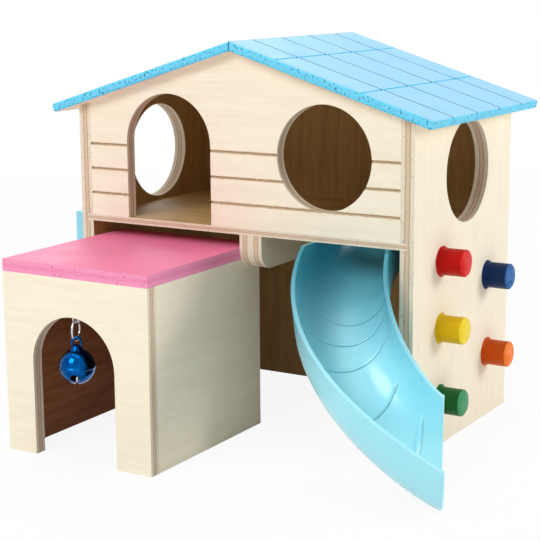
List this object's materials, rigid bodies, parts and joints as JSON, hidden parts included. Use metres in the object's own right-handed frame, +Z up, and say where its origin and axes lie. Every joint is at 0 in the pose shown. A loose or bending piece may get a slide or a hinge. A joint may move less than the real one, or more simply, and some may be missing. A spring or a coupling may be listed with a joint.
{
  "type": "small pet house",
  "caption": "Two-storey wooden small-pet house with a hut in front, a bent slide, climbing pegs, a ladder and a hanging bell.",
  "frame": {"origin": "on the ground under the middle of the object's box", "axes": "+X to the right seen from the front, +Y to the back, +Z up"},
  "size_m": [0.2135, 0.1732, 0.1652],
  "materials": {
    "bare_wood": "sanded plywood with visible layers on the edges",
    "roof_paint": "light-blue stained plywood, satin",
    "pink_paint": "pink stained plywood, satin",
    "slide_plastic": "glossy moulded plastic",
    "red_paint": "red stained dowel",
    "blue_paint": "dark-blue stained dowel",
    "yellow_paint": "yellow stained dowel",
    "orange_paint": "orange stained dowel",
    "green_paint": "green stained dowel",
    "ladder_paint": "pale-blue stained wood",
    "bell_blue": "blue anodised mirror finish",
    "steel": "bright steel wire"
  },
  "bodies": {
    "house": {"left_wall": "bare_wood", "right_wall": "bare_wood", "front_panel": "bare_wood", "back_wall": "bare_wood", "upper_floor": "bare_wood", "roof_left": "roof_paint", "roof_right": "roof_paint", "floor_beam_left": "bare_wood", "floor_beam_right": "bare_wood", "hut_front": "bare_wood", "hut_left_wall": "bare_wood", "hut_right_wall": "bare_wood", "hut_roof": "pink_paint", "slide_chute": "slide_plastic", "slide_screws": "steel", "peg_red": "red_paint", "peg_blue": "blue_paint", "peg_yellow": "yellow_paint", "peg_orange": "orange_paint", "peg_green": "green_paint", "ladder_stile_front": "ladder_paint", "ladder_stile_back": "ladder_paint", "ladder_rungs": "ladder_paint", "wall_dowels": "bare_wood", "hut_dowels": "bare_wood", "edge_nails": "steel", "bell_staple": "steel"},
    "ring": {"bell_ring": "steel"},
    "bell": {"bell_loop": "bell_blue", "bell_upper_shell": "bell_blue", "bell_lower_shell": "bell_blue"},
    "pellet": {"bell_pellet": "steel"}
  },
  "joints": [
    {"name": "ring_swing", "type": "hinge", "parent": "house", "child": "ring", "pos_m": [-0.05062, -0.07905, 0.05715], "axis": [0.9563, 0.2924, 0], "range_deg": [-36, 36]},
    {"name": "bell_swing", "type": "hinge", "parent": "ring", "child": "bell", "pos_m": [-0.05062, -0.07905, 0.0499], "axis": [-0.2924, 0.9563, 0], "range_deg": [-55, 55]},
    {"name": "pellet_roll", "type": "hinge", "parent": "bell", "child": "pellet", "pos_m": [-0.05062, -0.07905, 0.0392], "axis": [0.9563, 0.2924, 0], "range_deg": [-50, 50]}
  ]
}
